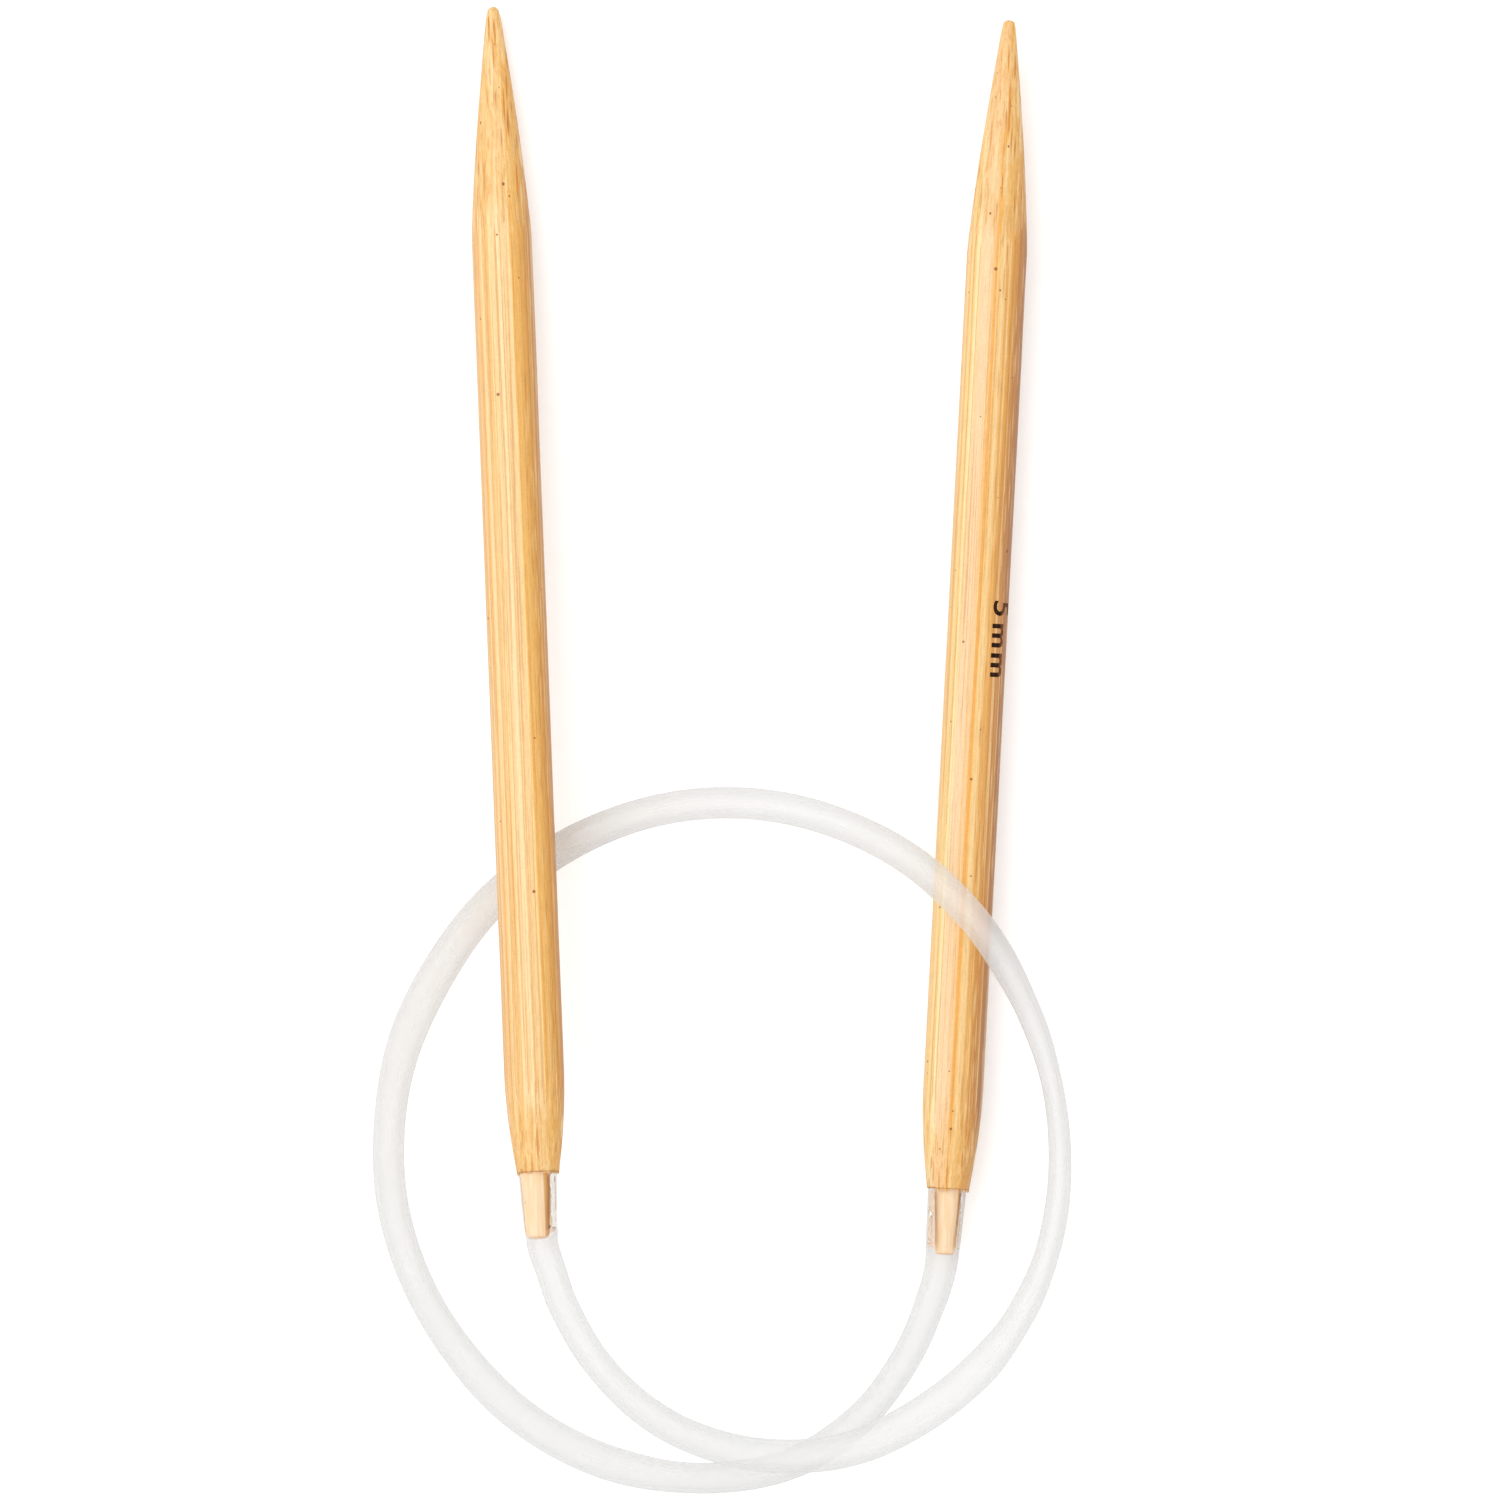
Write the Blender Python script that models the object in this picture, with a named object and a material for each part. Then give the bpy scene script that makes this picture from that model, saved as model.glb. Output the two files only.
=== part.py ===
"""Circular knitting needle: two turned bamboo needles joined by one flexible hollow cord.

Metres, +Z up, lying on the plane Z = 0 with the tips towards +Y. The right needle lies on the
plane. The cord leaves the left needle, passes over itself at the back of its loop, climbs over
the right needle, comes down under the left one and returns to the right needle's end. The cord
is cut into stretches only where it bends when a needle is moved.
"""

import math

import bmesh
import bpy
from mathutils import Matrix, Vector
from mathutils.geometry import interpolate_bezier

# Needle, each size measured on the turned bamboo.
NEEDLE_RADIUS = 0.0025
NEEDLE_LENGTH = 0.0975  # tip to shoulder
TIP_RADIUS = 0.0005
TIP_TAPER = 0.0195  # length over which the point grows to the full radius
TIP_FULLNESS = 1.3  # 1 is a straight cone, more is a fuller point
SHOULDER_RADIUS = 0.00175
REAR_TAPER = 0.0085
REAR_FULLNESS = 1.85
SPIGOT_LENGTH = 0.0055
SPIGOT_ROOT_RADIUS = 0.0011
SPIGOT_END_RADIUS = 0.00085
EDGE_ROUND = 0.0001  # worn edge at the spigot's end and at the shoulder
SIDES = 32

# Cord: a hollow tube pushed over each spigot and glued there.
CORD_RADIUS = 0.00135
CORD_WALL = 0.00035
GLUE_FILM = 0.00008
BOND_GAP = 0.00003  # between spigot, glue film and cord
FACE_GAP = 0.0003  # between pieces that meet face to face
CROSS_GAP = 0.0003  # between the cord and what it crosses
LIFT_REACH = 0.004  # cord from the spigot's end to the axis that lifts the needle
SWING_REACH = 0.012  # cord from the spigot's end to the axis that swings it
POINT_STEP = 2 * 2 * CORD_RADIUS  # between the points of the plain cord

# How the needles lie. Lean turns a tip sideways, pitch lifts the cord's end off the plane.
LEFT_END = (-0.01737, -0.0506)  # where the cord leaves the left spigot
LEFT_LEAN = math.radians(2.25)
LEFT_PITCH = math.radians(4.5)
RIGHT_END = (0.01626, -0.0520)
RIGHT_LEAN = math.radians(-3.0)

# Heights of the cord's centre line.
ON_PLANE = CORD_RADIUS
OVER_CORD = 3 * CORD_RADIUS + CROSS_GAP
OVER_NEEDLE = 2 * NEEDLE_RADIUS + CORD_RADIUS + CROSS_GAP
REST_RADIUS = NEEDLE_RADIUS * math.cos(math.pi / SIDES)  # axis to the facet it lies on


def between(low, high, share):
    return low + share * (high - low)


def spigot_radius(y):
    """The spigot's radius at y, which is 0 at its end and grows to SPIGOT_LENGTH at the shoulder."""
    return between(SPIGOT_END_RADIUS, SPIGOT_ROOT_RADIUS, y / SPIGOT_LENGTH)


def taper_radius(distance, length, small, fullness):
    """The radius this far from the small end of a taper that grows to the full needle."""
    left = 1 - min(distance / length, 1.0)
    return NEEDLE_RADIUS - (NEEDLE_RADIUS - small) * left**fullness


def needle_profile():
    """(y, radius) from the spigot's end, at y = 0, to the tip."""
    profile = [(0.0, SPIGOT_END_RADIUS - EDGE_ROUND), (EDGE_ROUND, spigot_radius(EDGE_ROUND))]
    profile.append((SPIGOT_LENGTH, SPIGOT_ROOT_RADIUS))
    profile.append((SPIGOT_LENGTH, SHOULDER_RADIUS - EDGE_ROUND))
    rear_steps = 7
    for i in range(rear_steps + 1):
        y = REAR_TAPER * i / rear_steps
        radius = taper_radius(y, REAR_TAPER, SHOULDER_RADIUS, REAR_FULLNESS)
        profile.append((SPIGOT_LENGTH + max(y, EDGE_ROUND), radius))
    tip = SPIGOT_LENGTH + NEEDLE_LENGTH
    tip_steps = 11
    for i in range(tip_steps):
        back = between(TIP_TAPER, TIP_RADIUS, i / tip_steps)
        profile.append((tip - back, taper_radius(back, TIP_TAPER, TIP_RADIUS, TIP_FULLNESS)))
    ball_steps = 4
    for i in range(ball_steps):
        angle = math.radians(80) * i / (ball_steps - 1)
        back = TIP_RADIUS * (1 - math.sin(angle))
        profile.append((tip - back, TIP_RADIUS * math.cos(angle)))
    return profile


# The left needle slopes down and touches the plane near the start of its point.
LEFT_END_HEIGHT = max(
    radius * math.cos(LEFT_PITCH) + y * math.sin(LEFT_PITCH) for y, radius in needle_profile()
)


# The cord's route from the left spigot to the right one, chosen by hand.
ROUTE = [
    (-0.0168, -0.0530, between(OVER_CORD, LEFT_END_HEIGHT, 1.00)),
    (-0.0155, -0.0564, between(OVER_CORD, LEFT_END_HEIGHT, 0.95)),
    (-0.0129, -0.0608, between(OVER_CORD, LEFT_END_HEIGHT, 0.82)),
    (-0.0094, -0.0644, between(OVER_CORD, LEFT_END_HEIGHT, 0.62)),
    (-0.0049, -0.0671, between(OVER_CORD, LEFT_END_HEIGHT, 0.38)),
    (0.0005, -0.0686, between(OVER_CORD, LEFT_END_HEIGHT, 0.14)),
    (0.0062, -0.0686, OVER_CORD),
    (0.0110, -0.0672, between(OVER_CORD, OVER_NEEDLE, 0.10)),
    (0.0168, -0.0636, between(OVER_CORD, OVER_NEEDLE, 0.40)),
    (0.0210, -0.0593, between(OVER_CORD, OVER_NEEDLE, 0.75)),
    (0.0240, -0.0540, OVER_NEEDLE),
    (0.0256, -0.0479, OVER_NEEDLE),
    (0.0257, -0.0413, OVER_NEEDLE),
    (0.0244, -0.0348, OVER_NEEDLE),
    (0.0217, -0.0286, OVER_NEEDLE),
    (0.0183, -0.0236, OVER_NEEDLE),
    (0.0135, -0.0192, OVER_NEEDLE),
    (0.0078, -0.0162, between(ON_PLANE, OVER_NEEDLE, 0.93)),
    (0.0017, -0.0146, between(ON_PLANE, OVER_NEEDLE, 0.70)),
    (-0.0047, -0.0145, between(ON_PLANE, OVER_NEEDLE, 0.40)),
    (-0.0108, -0.0159, between(ON_PLANE, OVER_NEEDLE, 0.15)),
    (-0.0167, -0.0188, between(ON_PLANE, OVER_NEEDLE, 0.03)),
    (-0.0220, -0.0231, ON_PLANE),
    (-0.0260, -0.0286, ON_PLANE),
    (-0.0288, -0.0346, ON_PLANE),
    (-0.0300, -0.0410, ON_PLANE),
    (-0.0298, -0.0475, ON_PLANE),
    (-0.0280, -0.0537, ON_PLANE),
    (-0.0247, -0.0595, ON_PLANE),
    (-0.0199, -0.0648, ON_PLANE),
    (-0.0140, -0.0685, ON_PLANE),
    (-0.0075, -0.0704, ON_PLANE),
    (-0.0010, -0.0705, ON_PLANE),
    (0.0045, -0.0690, ON_PLANE),
    (0.0092, -0.0657, ON_PLANE),
    (0.0126, -0.0613, between(ON_PLANE, REST_RADIUS, 0.25)),
    (0.0149, -0.0570, between(ON_PLANE, REST_RADIUS, 0.70)),
]


def needle_frame(end, height, lean, pitch):
    """Places a needle: origin where the cord leaves the spigot, +Y towards the tip."""
    place = Matrix.Translation((end[0], end[1], height))
    return place @ Matrix.Rotation(lean, 4, "Z") @ Matrix.Rotation(-pitch, 4, "X")


LEFT_FRAME = needle_frame(LEFT_END, LEFT_END_HEIGHT, LEFT_LEAN, LEFT_PITCH)
RIGHT_FRAME = needle_frame(RIGHT_END, REST_RADIUS, RIGHT_LEAN, 0.0)


def smooth_route():
    """Points close together on one smooth curve from spigot end to spigot end."""
    left, right = LEFT_FRAME.translation, RIGHT_FRAME.translation
    knots = [left] + [Vector(point) for point in ROUTE] + [right]
    tangents = [LEFT_FRAME.to_3x3() @ Vector((0, -1, 0))]
    tangents += [(b - a).normalized() for a, b in zip(knots, knots[2:])]
    tangents += [RIGHT_FRAME.to_3x3() @ Vector((0, 1, 0))]
    fine = [knots[0]]
    for index, (start, end) in enumerate(zip(knots, knots[1:])):
        third = (end - start).length / 3
        leave = start + third * tangents[index]
        arrive = end - third * tangents[index + 1]
        fine += interpolate_bezier(start, leave, arrive, end, 25)[1:]
    return fine


FINE_ROUTE = smooth_route()
ROUTE_LENGTH = sum((b - a).length for a, b in zip(FINE_ROUTE, FINE_ROUTE[1:]))


def route_point(distance):
    """The point this far along the cord from the left spigot's end, and the cord's direction."""
    for start, end in zip(FINE_ROUTE, FINE_ROUTE[1:]):
        step = (end - start).length
        if distance <= step:
            break
        distance -= step
    direction = (end - start).normalized()
    return start + distance * direction, direction


def material(name, colour, roughness, alpha=1.0):
    made = bpy.data.materials.new(name)
    made.use_nodes = True
    shader = made.node_tree.nodes["Principled BSDF"]
    shader.inputs["Base Color"].default_value = (*colour, 1.0)
    shader.inputs["Roughness"].default_value = roughness
    shader.inputs["Metallic"].default_value = 0.0
    shader.inputs["Alpha"].default_value = alpha
    made.diffuse_color = (*colour, alpha)
    return made


def add_object(name, data, finish, origin):
    data.materials.append(finish)
    made = bpy.data.objects.new(name, data)
    made.matrix_world = Matrix.Translation(origin)
    bpy.context.collection.objects.link(made)
    return made


def loft(name, rings, closed, finish, origin):
    """A body through rings (centre, direction, radius): its two ends are capped, or joined."""
    mesh = bmesh.new()
    loops = []
    for centre, direction, radius in rings:
        turn = direction.to_track_quat("Y", "Z").to_matrix().to_4x4()
        facet_down = Matrix.Rotation(math.pi / SIDES, 4, "Y") @ Matrix.Rotation(math.pi / 2, 4, "X")
        place = Matrix.Translation(centre - origin) @ turn @ facet_down
        circle = bmesh.ops.create_circle(mesh, segments=SIDES, radius=radius, matrix=place)
        loops.append(circle["verts"])
    pairs = list(zip(loops, loops[1:])) + ([(loops[-1], loops[0])] if closed else [])
    for near, far in pairs:
        for i in range(SIDES):
            j = (i + 1) % SIDES
            mesh.faces.new((near[i], near[j], far[j], far[i]))
    if not closed:
        mesh.faces.new(loops[0])
        mesh.faces.new(loops[-1])
    bmesh.ops.recalc_face_normals(mesh, faces=mesh.faces)
    data = bpy.data.meshes.new(name)
    mesh.to_mesh(data)
    mesh.free()
    data.shade_smooth()
    data.set_sharp_from_angle(angle=math.radians(35))
    return add_object(name, data, finish, origin)


def needle_rings(frame, profile):
    direction = frame.to_3x3() @ Vector((0, 1, 0))
    return [(frame @ Vector((0, y, 0)), direction, radius) for y, radius in profile]


def add_needle(name, frame, origin, finish):
    return loft(name, needle_rings(frame, needle_profile()), False, finish, origin)


def add_glue(name, frame, origin, finish):
    """The thin shell of adhesive around the spigot."""
    start, end = EDGE_ROUND, SPIGOT_LENGTH - FACE_GAP
    inside = [(y, spigot_radius(y) + BOND_GAP) for y in (start, end)]
    outside = [(y, spigot_radius(y) + BOND_GAP + GLUE_FILM) for y in (end, start)]
    return loft(name, needle_rings(frame, inside + outside), True, finish, origin)


def add_sleeve(name, frame, away, origin, finish):
    """The end of the cord: stretched over the spigot, then free as far as the lifting axis.

    away(distance) gives the cord's point and its direction away from the needle.
    """
    lip = SPIGOT_LENGTH - FACE_GAP
    bore_gap = 2 * BOND_GAP + GLUE_FILM
    bore = [(y, spigot_radius(max(y, 0.0)) + bore_gap) for y in (-FACE_GAP, 0.0, lip)]
    steps = 4
    heights = [lip * (1 - i / steps) for i in range(steps + 1)]
    outside = [(y, max(spigot_radius(y) + bore_gap + CORD_WALL, CORD_RADIUS)) for y in heights]
    rings = needle_rings(frame, bore + outside)
    free_steps = 3
    for i in range(1, free_steps + 1):
        point, direction = away((LIFT_REACH - FACE_GAP / 2) * i / free_steps)
        rings.append((point, -direction, CORD_RADIUS))
    return loft(name, rings, False, finish, origin)


def add_cord(name, start, end, origin, finish):
    """A plain stretch of the cord between two distances along its route."""
    steps = max(2, round((end - start) / POINT_STEP))
    curve = bpy.data.curves.new(name, "CURVE")
    curve.dimensions = "3D"
    curve.bevel_depth = CORD_RADIUS
    curve.bevel_resolution = 2
    curve.use_fill_caps = True
    spline = curve.splines.new("POLY")
    spline.points.add(steps)
    for i, point in enumerate(spline.points):
        place, _ = route_point(start + (end - start) * i / steps)
        point.co = (*(place - origin), 1.0)
    spline.use_smooth = True
    return add_object(name, curve, finish, origin)


def add_axis(name, place, parent=None):
    """An empty on a joint's axis, which the pieces that turn there hang from."""
    axis = bpy.data.objects.new(name, None)
    axis.empty_display_size = 2 * NEEDLE_RADIUS
    bpy.context.collection.objects.link(axis)
    attach(axis, parent, place)
    return axis


def attach(piece, parent, place):
    """Hangs a piece from its axis and keeps it where it is, with its origin at place."""
    piece.parent = parent
    piece.location = place - (parent.matrix_world.translation if parent else Vector())
    bpy.context.view_layer.update()


def add_side(side, frame, away, finishes):
    """One needle with the end of the cord on it, and the cord's neck that it moves on."""
    lift_place, _ = away(LIFT_REACH)
    swing_place, _ = away(SWING_REACH)
    swing = add_axis(f"{side}_swing_axis", swing_place)
    lift = add_axis(f"{side}_lift_axis", lift_place, swing)
    names = (f"{side}_needle", f"{side}_glue_film", f"{side}_cord_sleeve", f"{side}_cord_neck")
    needle = add_needle(names[0], frame, lift_place, finishes["bamboo"])
    glue = add_glue(names[1], frame, lift_place, finishes["glue"])
    sleeve = add_sleeve(names[2], frame, away, lift_place, finishes["cord"])
    neck_ends = [LIFT_REACH + FACE_GAP / 2, SWING_REACH - FACE_GAP / 2]
    if side == "right":
        neck_ends = [ROUTE_LENGTH - reach for reach in reversed(neck_ends)]
    neck = add_cord(names[3], *neck_ends, swing_place, finishes["cord"])
    for piece in (needle, glue, sleeve):
        attach(piece, lift, lift_place)
    attach(neck, swing, swing_place)


def from_left(distance):
    return route_point(distance)


def from_right(distance):
    point, direction = route_point(ROUTE_LENGTH - distance)
    return point, -direction


def main():
    for old in list(bpy.data.objects):
        bpy.data.objects.remove(old, do_unlink=True)
    finishes = {
        "bamboo": material("bamboo", (0.80, 0.52, 0.24), 0.42),
        "cord": material("clear_cord", (0.90, 0.90, 0.88), 0.30, alpha=0.45),
        "glue": material("clear_glue", (0.95, 0.93, 0.86), 0.25, alpha=0.35),
    }
    add_side("left", LEFT_FRAME, from_left, finishes)
    add_side("right", RIGHT_FRAME, from_right, finishes)
    first = SWING_REACH + FACE_GAP / 2
    start, _ = route_point(first)
    add_cord("cord", first, ROUTE_LENGTH - first, start, finishes["cord"])


main()
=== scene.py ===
import math

import bpy
from mathutils import Euler, Matrix, Vector, noise
from mathutils.geometry import interpolate_bezier


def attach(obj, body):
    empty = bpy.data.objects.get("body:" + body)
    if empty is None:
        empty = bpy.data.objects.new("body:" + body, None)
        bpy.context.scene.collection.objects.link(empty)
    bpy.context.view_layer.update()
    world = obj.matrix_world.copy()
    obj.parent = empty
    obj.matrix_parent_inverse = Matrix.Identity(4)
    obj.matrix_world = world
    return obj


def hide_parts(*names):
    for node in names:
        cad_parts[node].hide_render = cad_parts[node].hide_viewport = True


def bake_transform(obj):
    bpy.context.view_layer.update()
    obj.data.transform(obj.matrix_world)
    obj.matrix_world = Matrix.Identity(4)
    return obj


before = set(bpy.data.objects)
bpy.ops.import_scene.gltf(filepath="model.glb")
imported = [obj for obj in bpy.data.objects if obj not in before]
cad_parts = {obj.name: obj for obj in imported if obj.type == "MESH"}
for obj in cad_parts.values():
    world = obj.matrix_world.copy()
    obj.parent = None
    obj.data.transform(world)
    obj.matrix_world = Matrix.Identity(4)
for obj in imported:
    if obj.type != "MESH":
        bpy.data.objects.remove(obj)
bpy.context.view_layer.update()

MM = 0.001

# Needle, in metres, from the spigot's end (y = 0) to the tip.
NEEDLE_RADIUS = 0.0025
NEEDLE_LENGTH = 0.0975
SPIGOT_LENGTH = 0.0055
SHOULDER_RADIUS = 0.00175
REAR_TAPER = 0.0085
REAR_FULLNESS = 1.85
TIP_RADIUS = 0.0005
TIP_TAPER = 0.0195
TIP_FULLNESS = 1.27
EDGE_ROUND = 0.0001
FACET_SIDES = 32  # the plain model's shaft has this many facets and rests on one
# The spigots: radius at the root and at the end, and how far right of the middle they sit.
LEFT_SPIGOT = (0.00131, 0.00100)
LEFT_SPIGOT_SHIFT = -0.00022
RIGHT_SPIGOT = (0.00115, 0.00083)
RIGHT_SPIGOT_SHIFT = 0.0

# Cord.
CORD_RADIUS = 0.00135
CORD_WALL = 0.00035
SLEEVE_WALL = 0.00014  # where the tube is stretched over a spigot
CROSS_GAP = 0.0003
# Each end of the cord is made in three stretches, up to these distances from the spigot's end.
SLEEVE_TO = 0.001
NECK_TO = 0.0075
FREE_FROM = 0.016
RING_SIDES = 64
RING_STEP = 0.0006

# How the needles lie.
LEFT_END = (-0.01737, -0.0506)
LEFT_LEAN = math.radians(2.25)
LEFT_PITCH = math.radians(4.5)
RIGHT_END = (0.01626, -0.0520)
RIGHT_LEAN = math.radians(-3.0)
LEFT_END_HEIGHT = 0.0091045

ON_PLANE = CORD_RADIUS
OVER_CORD = 3 * CORD_RADIUS + CROSS_GAP
OVER_NEEDLE = 2 * NEEDLE_RADIUS + CORD_RADIUS + CROSS_GAP
REST_RADIUS = NEEDLE_RADIUS * math.cos(math.pi / FACET_SIDES)


def between(low, high, share):
    return low + share * (high - low)


def soft(share):
    """The share held to 0..1, with soft ends."""
    share = min(max(share, 0.0), 1.0)
    return share * share * (3 - 2 * share)


# The cord's route from the left spigot's end to the right one: x, y and height.
ROUTE = [
    (-0.0168, -0.0530, between(OVER_CORD, LEFT_END_HEIGHT, 1.00)),
    (-0.0155, -0.0564, between(OVER_CORD, LEFT_END_HEIGHT, 0.95)),
    (-0.0129, -0.0608, between(OVER_CORD, LEFT_END_HEIGHT, 0.82)),
    (-0.0094, -0.0644, between(OVER_CORD, LEFT_END_HEIGHT, 0.62)),
    (-0.0049, -0.0671, between(OVER_CORD, LEFT_END_HEIGHT, 0.38)),
    (0.0005, -0.0686, between(OVER_CORD, LEFT_END_HEIGHT, 0.14)),
    (0.0062, -0.0686, OVER_CORD),
    (0.0110, -0.0672, between(OVER_CORD, OVER_NEEDLE, 0.10)),
    (0.0168, -0.0636, between(OVER_CORD, OVER_NEEDLE, 0.40)),
    (0.0210, -0.0593, between(OVER_CORD, OVER_NEEDLE, 0.75)),
    (0.0240, -0.0540, OVER_NEEDLE),
    (0.0256, -0.0479, OVER_NEEDLE),
    (0.0257, -0.0413, OVER_NEEDLE),
    (0.0244, -0.0348, OVER_NEEDLE),
    (0.0217, -0.0286, OVER_NEEDLE),
    (0.0183, -0.0236, OVER_NEEDLE),
    (0.0135, -0.0192, OVER_NEEDLE),
    (0.0078, -0.0162, between(ON_PLANE, OVER_NEEDLE, 0.93)),
    (0.0017, -0.0146, between(ON_PLANE, OVER_NEEDLE, 0.70)),
    (-0.0047, -0.0145, between(ON_PLANE, OVER_NEEDLE, 0.40)),
    (-0.0108, -0.0159, between(ON_PLANE, OVER_NEEDLE, 0.15)),
    (-0.0167, -0.0188, between(ON_PLANE, OVER_NEEDLE, 0.03)),
    (-0.0220, -0.0231, ON_PLANE),
    (-0.0260, -0.0286, ON_PLANE),
    (-0.0288, -0.0346, ON_PLANE),
    (-0.0300, -0.0410, ON_PLANE),
    (-0.0298, -0.0475, ON_PLANE),
    (-0.0280, -0.0537, ON_PLANE),
    (-0.0247, -0.0595, ON_PLANE),
    (-0.0199, -0.0648, ON_PLANE),
    (-0.0140, -0.0685, ON_PLANE),
    (-0.0075, -0.0704, ON_PLANE),
    (-0.0010, -0.0705, ON_PLANE),
    (0.0045, -0.0690, ON_PLANE),
    (0.0092, -0.0657, ON_PLANE),
    (0.0126, -0.0613, between(ON_PLANE, REST_RADIUS, 0.25)),
    (0.0149, -0.0570, between(ON_PLANE, REST_RADIUS, 0.70)),
]

# The tube isn't quite round: its width seen from above, in mm, at distances along the route.
CORD_WIDTHS = [
    (-6, 3.2), (-3, 3.05), (-1.5, 2.87), (0, 2.66), (3, 2.56), (12, 2.5), (20, 2.7), (30, 2.85),
    (42, 3.1), (48, 3.05), (54, 2.45), (60, 2.1), (74, 1.8), (80, 2.1), (86, 2.5), (95, 2.65),
    (120, 2.65), (136, 2.9), (145, 3.05), (156, 2.65), (170, 2.65), (182, 2.95), (192, 2.95),
    (199, 2.6), (212, 2.65), (217, 2.52), (224, 2.55), (228, 2.68), (230, 2.78), (232, 3.0),
    (236, 3.2),
]
# And it lies this far to the right of the route's middle, in mm, seen along the route.
CORD_SHIFTS = [
    (-6, -0.04), (-2, -0.05), (0, -0.12), (3, -0.20), (6, -0.12), (12, -0.10), (20, 0.0),
    (212, 0.0), (219, 0.06), (226, -0.20), (230, -0.20), (236, -0.14),
]


def needle_frame(end, height, lean, pitch):
    """Places a needle: origin where the cord leaves the spigot, +Y towards the tip."""
    place = Matrix.Translation((end[0], end[1], height))
    return place @ Euler((-pitch, 0.0, lean), "XYZ").to_matrix().to_4x4()


LEFT_FRAME = needle_frame(LEFT_END, LEFT_END_HEIGHT, LEFT_LEAN, LEFT_PITCH)
RIGHT_FRAME = needle_frame(RIGHT_END, REST_RADIUS, RIGHT_LEAN, 0.0)


def smooth_route():
    """Points close together on one smooth curve from spigot end to spigot end."""
    left, right = LEFT_FRAME.translation, RIGHT_FRAME.translation
    knots = [left] + [Vector(point) for point in ROUTE] + [right]
    tangents = [LEFT_FRAME.to_3x3() @ Vector((0, -1, 0))]
    tangents += [(b - a).normalized() for a, b in zip(knots, knots[2:])]
    tangents += [RIGHT_FRAME.to_3x3() @ Vector((0, 1, 0))]
    fine = [knots[0]]
    for index, (start, end) in enumerate(zip(knots, knots[1:])):
        third = (end - start).length / 3
        leave = start + third * tangents[index]
        arrive = end - third * tangents[index + 1]
        fine += interpolate_bezier(start, leave, arrive, end, 25)[1:]
    return fine


FINE_ROUTE = smooth_route()
ROUTE_LENGTH = sum((b - a).length for a, b in zip(FINE_ROUTE, FINE_ROUTE[1:]))


def route_point(distance):
    """Point and direction this far along the route, which runs on straight into both spigots."""
    start, end = FINE_ROUTE[0], FINE_ROUTE[1]
    if distance > 0:
        for start, end in zip(FINE_ROUTE, FINE_ROUTE[1:]):
            step = (end - start).length
            if distance <= step:
                break
            distance -= step
        else:
            distance += step
    direction = (end - start).normalized()
    return start + distance * direction, direction


def eased(table, distance):
    """The table's value in metres at this distance, eased between its places."""
    mm = distance / MM
    for (a, value_a), (b, value_b) in zip(table, table[1:]):
        if mm <= b:
            break
    return between(value_a, value_b, soft((mm - a) / (b - a))) * MM


def cord_width(distance):
    """Half the tube's width."""
    return eased(CORD_WIDTHS, distance) / 2


# ------------------------------------------------ camera, light and table

VIEW_WIDTH = 0.125
LENS = 800.0
SENSOR = 36.0
VIEW_CENTRE = (0.0, -0.00996, 0.0025)


def set_camera():
    """A long lens straight above the middle of the piece."""
    data = bpy.data.cameras.new("camera")
    data.lens = LENS
    data.sensor_width = SENSOR
    camera = bpy.data.objects.new("camera", data)
    above = VIEW_WIDTH * LENS / SENSOR
    camera.location = (VIEW_CENTRE[0], VIEW_CENTRE[1], VIEW_CENTRE[2] + above)
    bpy.context.collection.objects.link(camera)
    bpy.context.scene.camera = camera


def add_softbox(name, place, aim, size, power):
    """A round soft light that isn't seen itself."""
    data = bpy.data.lights.new(name, "AREA")
    data.shape = "DISK"
    data.size = size
    data.energy = power
    lamp = bpy.data.objects.new(name, data)
    lamp.location = place
    lamp.visible_camera = False
    lamp.rotation_euler = (Vector(aim) - Vector(place)).to_track_quat("-Z", "Y").to_euler()
    bpy.context.collection.objects.link(lamp)


def set_light():
    """An even white surround, with one softbox from the upper left."""
    world = bpy.data.worlds.new("studio")
    world.use_nodes = True
    sky = world.node_tree.nodes["Background"]
    sky.inputs["Color"].default_value = (1.0, 1.0, 1.0, 1.0)
    sky.inputs["Strength"].default_value = 0.98
    bpy.context.scene.world = world
    add_softbox("key", (-0.40, 0.20, 0.66), (0, -0.01, 0), 0.70, 2.2)
    scene = bpy.context.scene
    scene.view_settings.view_transform = "Standard"
    scene.view_settings.look = "None"
    scene.view_settings.exposure = 0.0
    scene.cycles.transparent_max_bounces = 24


set_camera()
set_light()


# ------------------------------------------------ node helpers


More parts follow.
